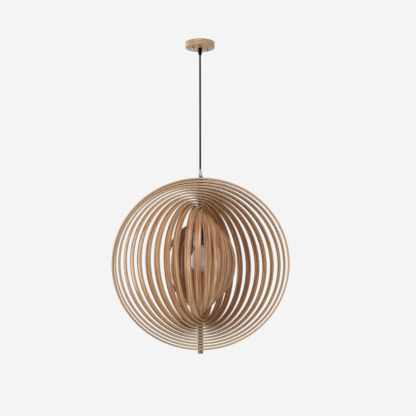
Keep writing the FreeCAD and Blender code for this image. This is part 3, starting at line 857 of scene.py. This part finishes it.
@dataclass
class HoopCage:
    """The nested hoops, and the stacks of spacers and nuts that they turn on."""

    half_width: float = 0.250
    half_height: float = 0.2425
    side_step: float = 0.0094
    pole_step: float = 0.008
    strip_width: float = 0.018
    thickness: float = 0.005
    edge: float = 0.0008
    middle: float = -0.6407
    turns: Sequence[float] = (-3.0, 4.5, 11.5, 20.5, 28.0, 35.0, 43.0, 50.5, 59.0,
                              66.0, 77.5, 87.5, 99.0, 112.0, 123.5, 137.0, 167.5)
    hoop_points: int = 288
    section_cuts: int = 5
    drill_sides: int = 48
    drill_reach: float = 2.2
    tone_step: float = 0.618
    spacer_radius: float = 0.007
    spacer_edge: float = 0.0004
    spacer_points: int = 48
    seat_gap: float = 0.0001
    end_chamfer: float = 0.0008
    end_socket: float = 0.007
    groove_depth: float = 0.0003
    groove_drops: Sequence[float] = (0.0030, 0.0028, 0.0024, 0.0022)

    def build(self) -> None:
        """Make the hoops and both stacks."""
        self.make_hoops()
        for pole in Pole:
            self.make_spacers(pole)
        self.make_nuts()

    def hoop_tree(self) -> GeometryTree:
        """Set up one bent hoop: a swept oval strip, drilled at its poles and turned.

        Returns:
            The hoop's tree.
        """
        made = GeometryTree("Bent hoop", ("Half width", "Half height", "Strip width", "Thickness", "Edge",
                                          "Bore", "Turn", "Middle", "Tone"))
        graph = made.graph
        half = made["Thickness"] * 0.5
        line_x = made["Half width"] - half
        line_z = made["Half height"] - half
        strip = made.swept_ring(line_x, line_z, made["Thickness"], made["Strip width"],
                                made["Edge"], self.hoop_points, self.section_cuts)
        upright = made.add("Transform", {
            "Geometry": strip, "Rotation": (math.radians(90), 0.0, 0.0)})
        drill = made.add("MeshCylinder", {
            "Vertices": self.drill_sides, "Radius": made["Bore"],
            "Depth": made["Half height"] * self.drill_reach})
        drilled = made.add("MeshBoolean", {"Mesh 1": upright, "Mesh 2": drill}, operation="DIFFERENCE",
                           solver="EXACT")
        x, y, z = graph.split(made.add("InputPosition"))
        east = x / line_x
        north = z / line_z
        depth = ((east * east + north * north).root() - 1.0) * line_x
        shape = made.creased(drilled)
        for label, kind, value in (
                ("around", "FLOAT_VECTOR", graph.vector(east, north, 0.0)),
                ("section", "FLOAT_VECTOR", graph.vector(depth, y, 0.0)),
                ("tone", "FLOAT", made["Tone"])):
            shape = made.add("StoreNamedAttribute", {"Geometry": shape, "Name": label, "Value": value},
                             data_type=kind)
        made.close(made.add("Transform", {
            "Geometry": shape, "Translation": graph.vector(0.0, 0.0, made["Middle"]),
            "Rotation": graph.vector(0.0, 0.0, made["Turn"])}))
        return made

    def make_hoops(self) -> None:
        """Make one hoop for each ring body."""
        tree = self.hoop_tree()
        for number, turn in enumerate(self.turns):
            label = "%02d" % (number + 1)
            hoop = tree.run(
                "hoop_" + label,
                Half_width=self.half_width - number * self.side_step,
                Half_height=self.half_height - number * self.pole_step,
                Strip_width=self.strip_width, Thickness=self.thickness, Edge=self.edge, Bore=STEM_BORE,
                Turn=math.radians(turn), Middle=self.middle, Tone=(number * self.tone_step) % 1.0,
                Finish=HOOP_WOOD.material())
            place(hoop, "ring_" + label, "ring_" + label)

    def make_spacers(self, pole: Pole) -> None:
        """Stack round spacers at one pole, each as high as its gap.

        Args:
            pole: The end of the axis.
        """
        made = GeometryTree("Spacer stack " + pole.name.lower(), ("Radius", "Bore", "Edge", "Middle"))
        graph = made.graph
        radius = made["Radius"]
        bore = made["Bore"]
        index = made.add("InputIndex")
        inner_height = (self.half_height - self.thickness) - index * self.pole_step
        inner_width = (self.half_width - self.thickness) - index * self.side_step
        share = radius / inner_width
        seat = inner_height * (1.0 - share * share).root() - self.seat_gap
        foot = (self.half_height - self.pole_step + self.seat_gap) - index * self.pole_step
        line_radius = (radius + bore) * 0.5
        ring = made.swept_ring(line_radius, line_radius, radius - bore, 1.0, made["Edge"],
                               self.spacer_points, 0)
        level = made["Middle"] + (seat + foot) * (0.5 * pole.value)
        line = made.add("MeshLine", {"Count": len(self.turns) - 1})
        line = made.add("SetPosition", {
            "Geometry": line, "Position": graph.vector(0.0, 0.0, level)})
        made.close(made.add("InstanceOnPoints", {
            "Points": line, "Instance": made.creased(ring), "Scale": graph.vector(1.0, 1.0, seat - foot)}))
        piece = made.run(pole.name.lower() + "_spacer_stack", Radius=self.spacer_radius, Bore=STEM_BORE,
                         Edge=self.spacer_edge, Middle=self.middle, Finish=DARK_STEEL.material())
        place(piece, "top_spacers" if pole is Pole.UPPER else "bottom_spacers")

    def make_nuts(self) -> None:
        """Make the hexagonal nuts of both stacks, and the round end nut."""
        for name, node in (("top_hex_nut", "top_nut"), ("stem_hex_nut", "stem_lower_nut"),
                           ("rod_hex_nut", "bottom_inner_nut")):
            low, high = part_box(node)
            shape = bmesh.new()
            hex_nut(shape, high.y - low.y, STEM_BORE, low.z, high.z)
            place(to_object(name, shape, DARK_STEEL, NUT_CREASE), node)
        radius, foot, top = round_box("bottom_end_nut")
        chamfer, fillet = self.end_chamfer, Fillet.BROKEN
        waist = radius - self.groove_depth
        groove = [top - drop for drop in self.groove_drops]
        turned_piece("round_end_nut", END_NUT_STEEL, "bottom_end_nut", [
            (0.0, foot), (radius - chamfer, foot, fillet), (radius, foot + chamfer, fillet),
            (radius, groove[0], fillet), (waist, groove[1]), (waist, groove[2]),
            (radius, groove[3], fillet), (radius, top, Fillet.FINE), (STEM_BORE, top),
            (STEM_BORE, top - self.end_socket), (0.0, top - self.end_socket)])


@dataclass
class Canopy:
    """The turned canopy and the cap nuts that hold it."""

    wall: float = 0.005
    floor: float = 0.004
    edge: float = 0.0022
    sides: int = 128
    neck_hole: float = 0.00455
    stud_pitch: float = 0.046
    stud_angle: float = 28.0
    stud_radius: float = 0.00205
    nut_flats: float = 0.0055
    nut_hex: float = 0.0052
    dome_share: float = 0.47
    dome_tip: float = 0.75
    dome_lap: float = 0.0006
    dome_sides: int = 36

    def build(self) -> None:
        """Make the canopy and its nuts."""
        radius, foot, top = round_box("ceiling_canopy")
        inside = radius - self.wall
        shelf = foot + self.floor
        turned_piece("turned_canopy", CANOPY_WOOD, "ceiling_canopy", [
            (self.neck_hole, foot), (radius, foot, self.edge), (radius, top, Fillet.RIM),
            (inside, top, Fillet.SMALL), (inside, shelf, Fillet.CUP),
            (self.neck_hole, shelf)], self.sides)
        place(self.cap_nuts(), "canopy_cap_nuts")

    def cap_nuts(self) -> Piece:
        """Make both domed cap nuts as one piece.

        Returns:
            The linked object.
        """
        _, foot, face = round_box("canopy_cap_nuts")
        hex_foot = face - self.nut_hex
        lap = hex_foot + self.dome_lap
        dome = self.nut_flats * self.dome_share
        shape = bmesh.new()
        for side in (0.0, 180.0):
            nut = bmesh.new()
            hex_nut(nut, self.nut_flats, self.stud_radius, hex_foot, face)
            Outline([
                (0.0, foot), (dome * self.dome_tip, foot, Fillet.DOME_TIP),
                (dome, hex_foot, Fillet.DOME), (dome, lap), (0.0, lap),
            ]).turn(nut, self.dome_sides)
            angle = math.radians(self.stud_angle + side)
            offset = Vector((math.cos(angle), math.sin(angle), 0.0)) * (self.stud_pitch / 2)
            bmesh.ops.translate(nut, verts=nut.verts, vec=offset)
            passing = bpy.data.meshes.new("passing")
            bmesh.ops.recalc_face_normals(nut, faces=nut.faces)
            nut.to_mesh(passing)
            nut.free()
            shape.from_mesh(passing)
            bpy.data.meshes.remove(passing)
        return to_object("domed_cap_nuts", shape, BRIGHT_NUT, NUT_CREASE)


@dataclass
class CordSet:
    """The taut cord and the grips at its two ends."""

    cord_radius: float = 0.0027
    bore: float = 0.00275
    first_point: float = 0.030
    cord_rounding: int = 6
    grip_neck: float = 0.0045
    grip_waist: float = 0.0070
    grip_shoulder: float = 0.0085
    tip_radius: float = 0.0034
    taper_radius: float = 0.0052
    taper_rise: float = 0.0045
    groove_half: float = 0.0004
    groove_depth: float = 0.0005
    cone_collar: float = 0.0030
    cone_step: float = 0.0040
    cone_inset: float = 0.0007
    cone_tip: float = 0.0033
    cone_socket: float = 0.008

    def build(self) -> None:
        """Make the cord and both grips."""
        self.make_cord()
        self.make_canopy_grip()
        self.make_cone()

    def make_cord(self) -> None:
        """Run the free stretch straight down on one smooth line."""
        low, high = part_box("cord")
        route = [high.z, high.z - self.first_point, low.z + self.first_point, low.z]
        curve = bpy.data.curves.new("hanging_cord", "CURVE")
        curve.dimensions = "3D"
        line = curve.splines.new("NURBS")
        line.points.add(len(route) - 1)
        for point, level in zip(line.points, route):
            point.co = (0.0, 0.0, level, 1.0)
        line.order_u = 3
        line.use_endpoint_u = True
        curve.bevel_depth = self.cord_radius
        curve.bevel_resolution = self.cord_rounding
        curve.use_fill_caps = True
        curve.materials.append(CORD_SHEATH.material())
        cord = link_object("hanging_cord", curve)
        place(cord, "cord")

    def make_canopy_grip(self) -> None:
        """Make the black grip: a collar against the canopy, a body and a tapered end."""
        radius, tip, top = round_box("canopy_cord_grip")
        _, face, _ = round_box("ceiling_canopy")
        waist = face - self.grip_waist
        turned_piece("canopy_grip_black", GRIP_BLACK, "canopy_cord_grip", [
            (self.bore, tip), (self.tip_radius, tip, Fillet.RIM),
            (self.taper_radius, tip + self.taper_rise, Fillet.TAPER),
            (radius, tip + self.grip_shoulder, Fillet.GRIP),
            (radius, waist - self.groove_half, Fillet.FINE), (radius - self.groove_depth, waist),
            (radius, waist + self.groove_half, Fillet.FINE), (radius, face, Fillet.SMALL),
            (self.grip_neck, face), (self.grip_neck, top, Fillet.FINE), (self.bore, top)])

    def make_cone(self) -> None:
        """Make the pale conical grip on top of the stem."""
        base, foot, top = round_box("stem_cord_grip")
        socket = foot + self.cone_socket
        turned_piece("stem_grip_cone", CONE_PLASTIC, "stem_cord_grip", [
            (STEM_BORE, foot), (base, foot, Fillet.CONE),
            (base, foot + self.cone_collar, Fillet.LIP),
            (base - self.cone_inset, foot + self.cone_step, Fillet.SMALL),
            (self.cone_tip, top, Fillet.CONE), (self.bore, top), (self.bore, socket),
            (STEM_BORE, socket)])


@dataclass
class LampUnit:
    """The lampholder and the bulb."""

    wall: float = 0.002
    neck_radius: float = 0.007
    shoulder_rise: float = 0.007
    neck_rise: float = 0.0145
    groove_drops: Sequence[float] = (0.0090, 0.0050)
    groove_half: float = 0.0006
    groove_depth: float = 0.0005
    spigot_play: float = 0.00005
    spigot_drop: float = 0.004
    bulb_wall: float = 0.001
    bulb_neck: float = 0.0125
    bulb_neck_length: float = 0.010
    bulb_steps: int = 28
    bulb_sides: int = 96

    def build(self) -> None:
        """Make the holder's two shells and the bulb."""
        self.make_cap()
        self.make_skirt()
        self.make_bulb()

    def make_cap(self) -> None:
        """Make the cap with its neck and a rounded shoulder."""
        radius, foot, top = round_box("lampholder_cap")
        inside = radius - self.wall
        shoulder = foot + self.shoulder_rise
        neck = foot + self.neck_rise
        turned_piece("holder_cap_black", HOLDER_BLACK, "lampholder_cap", [
            (inside, foot), (radius, foot, Fillet.SMALL), (radius, shoulder, Fillet.SHOULDER),
            (self.neck_radius, neck, Fillet.NECK), (self.neck_radius, top, Fillet.LIP),
            (STEM_BORE, top), (STEM_BORE, neck - self.wall),
            (self.neck_radius, neck - self.wall, Fillet.ROUND),
            (inside, shoulder - self.wall / 2, Fillet.INNER)])

    def make_skirt(self) -> None:
        """Make the skirt with two shallow grooves and a rounded rim."""
        radius, foot, top = round_box("lampholder_skirt")
        _, seat, _ = round_box("lampholder_cap")
        inside = radius - self.wall
        spigot = inside - self.spigot_play
        bore = radius - 2 * self.wall
        corners = [(inside, foot, Fillet.RIM), (radius, foot, Fillet.ROUND)]
        for drop in self.groove_drops:
            level = seat - drop
            corners += [(radius, level - self.groove_half, Fillet.BROKEN),
                        (radius - self.groove_depth, level, Fillet.FINE),
                        (radius, level + self.groove_half, Fillet.BROKEN)]
        corners += [(radius, seat, Fillet.SMALL), (spigot, seat), (spigot, top, Fillet.FINE),
                    (bore, top, Fillet.FINE), (bore, seat - self.spigot_drop),
                    (inside, seat - self.spigot_drop)]
        turned_piece("holder_skirt_black", HOLDER_BLACK, "lampholder_skirt", corners)

    def make_bulb(self) -> None:
        """Make the globe, whose sides run straight into the neck, with an even wall."""
        globe, foot, top = round_box("bulb_glass")
        shoulder = top - self.bulb_neck_length
        inner_neck = self.bulb_neck - self.bulb_wall
        centre = foot + globe
        loop = self.bulb_side(globe, self.bulb_neck, shoulder, centre)
        loop += [(self.bulb_neck, top), (inner_neck, top)]
        inner = self.bulb_side(globe - self.bulb_wall, inner_neck, shoulder, centre)
        loop += inner[::-1]
        turned_piece("bulb_globe", BULB_WHITE, "bulb_glass", loop, self.bulb_sides)

    def bulb_side(self, globe: float, neck: float, shoulder: float, centre: float) -> list[Corner]:
        """Draw the side of the bulb from its lowest point to its shoulder.

        Args:
            globe: Radius of the globe.
            neck: Radius of the neck.
            shoulder: Height where the neck starts.
            centre: Height of the globe's middle.

        Returns:
            Its corners.
        """
        reach = math.hypot(neck, shoulder - centre)
        lean = math.acos(globe / reach)
        last = math.atan2(shoulder - centre, neck) - lean
        side: list[Corner] = [(0.0, centre - globe)]
        for step in range(1, self.bulb_steps + 1):
            angle = -math.pi / 2 + (last + math.pi / 2) * step / self.bulb_steps
            side.append((globe * math.cos(angle), centre + globe * math.sin(angle)))
        side.append((neck, shoulder, Fillet.BULB))
        return side


@dataclass(frozen=True)
class Panel:
    """A soft rectangular light: its place, its size in metres and its power in watts."""

    name: str
    spot: Spot
    width: float
    height: float
    power: float


@dataclass
class Studio:
    """Pale floor, soft light and the camera at the photograph's view."""

    eye: Spot = (0.0218, -3.000, -0.9250)
    tilt: float = 8.359
    roll: float = -0.15
    lens: float = 92.71
    sight: float = 100.0
    floor_level: float = -2.6
    floor_radius: float = 9.0
    floor_sides: int = 96
    floor_paint: Colour = shade(251, 251, 251)
    floor_roughness: float = 0.9
    paper: Colour = shade(244, 244, 244)
    room_light: float = 0.50
    wall_light: float = 1.05
    wall_rise: Fade = (0.62, 0.15)
    wall_turn: Fade = (-0.5, 0.3)
    window_light: float = 0.40
    window_side: Fade = (-0.3, -0.7)
    window_turn: Fade = (0.1, -0.3)
    window_rise: Fade = (0.75, 0.35)
    lit_spot: Spot = (0.0, 0.0, -0.6)
    panels: Sequence[Panel] = (
        Panel("key_panel", (-1.3, -2.65, -0.40), 0.7, 2.2, 16.0),
        Panel("top_panel", (-0.9, -2.5, 1.9), 3.0, 2.0, 56.0),
        Panel("window_panel", (-1.92, 1.05, -0.42), 1.1, 1.8, 22.0),
        Panel("side_panel", (2.0, -2.2, -0.36), 0.6, 2.2, 12.0))

    def build(self) -> None:
        """Make the surroundings."""
        self.make_camera()
        self.make_floor()
        self.make_room()
        self.make_panels()

    def make_camera(self) -> None:
        """Set the camera below the middle of the hoops, looking a little up."""
        data = bpy.data.cameras.new("view")
        data.lens = self.lens
        data.clip_end = self.sight
        camera = link_object("view", data)
        camera.location = self.eye
        upright = Matrix.Rotation(math.radians(90 + self.tilt), 3, "X")
        camera.rotation_euler = (upright @ Matrix.Rotation(math.radians(self.roll), 3, "Z")).to_euler()
        bpy.context.scene.camera = camera

    def make_floor(self) -> None:
        """Lay a plain pale floor far below the light."""
        shape = bmesh.new()
        bmesh.ops.create_circle(shape, cap_ends=True, segments=self.floor_sides, radius=self.floor_radius)
        bmesh.ops.translate(shape, verts=shape.verts, vec=(0.0, 0.0, self.floor_level))
        mesh = bpy.data.meshes.new("pale_floor")
        shape.to_mesh(mesh)
        shape.free()
        paint = bpy.data.materials.new("pale_floor")
        paint.use_nodes = True
        Graph(paint.node_tree).fill(paint.node_tree.nodes["Principled BSDF"], {
            "Base Color": self.floor_paint, "Roughness": self.floor_roughness})
        mesh.materials.append(paint)
        floor = link_object("pale_floor", mesh)

    def make_room(self) -> None:
        """Light the pale room: brightest behind the object, with a soft window at the left."""
        bpy.context.scene.view_settings.view_transform = "Standard"
        world = bpy.data.worlds.new("pale_room")
        world.use_nodes = True
        graph = Graph(world.node_tree)
        x, y, z = graph.split(graph.node("ShaderNodeTexCoord", out="Generated"))
        wall = abs(z).ramp_up(*self.wall_rise) * y.ramp_up(*self.wall_turn)
        window = x.ramp_up(*self.window_side) * y.ramp_up(*self.window_turn)
        window = window * abs(z).ramp_up(*self.window_rise) * self.window_light
        room = self.room_light + (self.wall_light - self.room_light) * wall + window
        seen = graph.node("ShaderNodeLightPath", out="Is Camera Ray")
        graph.fill(world.node_tree.nodes["Background"], {
            "Color": self.paper, "Strength": seen + (1.0 - seen) * room})
        bpy.context.scene.world = world

    def make_panels(self) -> None:
        """Set up the soft panels, turned to the hoops."""
        for panel in self.panels:
            data = bpy.data.lights.new(panel.name, "AREA")
            data.energy = panel.power
            data.shape = "RECTANGLE"
            data.size = panel.width
            data.size_y = panel.height
            lamp = link_object(panel.name, data)
            lamp.location = panel.spot
            lamp.rotation_mode = "QUATERNION"
            aim = Vector(self.lit_spot) - Vector(panel.spot)
            lamp.rotation_quaternion = aim.to_track_quat("-Z", "Y")


def dress_kept_nodes() -> None:
    """Give the solids that stay their finishes."""
    for finish, nodes in KEPT_NODES.items():
        for node in nodes:
            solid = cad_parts[node]
            solid.data.materials.clear()
            solid.data.materials.append(finish.material())
            LOG.info("%s keeps its solid, finished in %s", node, finish.name)


def main() -> None:
    """Build the scene in order and report its pieces."""
    logging.basicConfig(level=logging.INFO, format="%(message)s")
    for part in (Studio(), CordSet(), HoopCage(), Canopy(), LampUnit()):
        part.build()
    dress_kept_nodes()


if __name__ == "__main__":
    main()
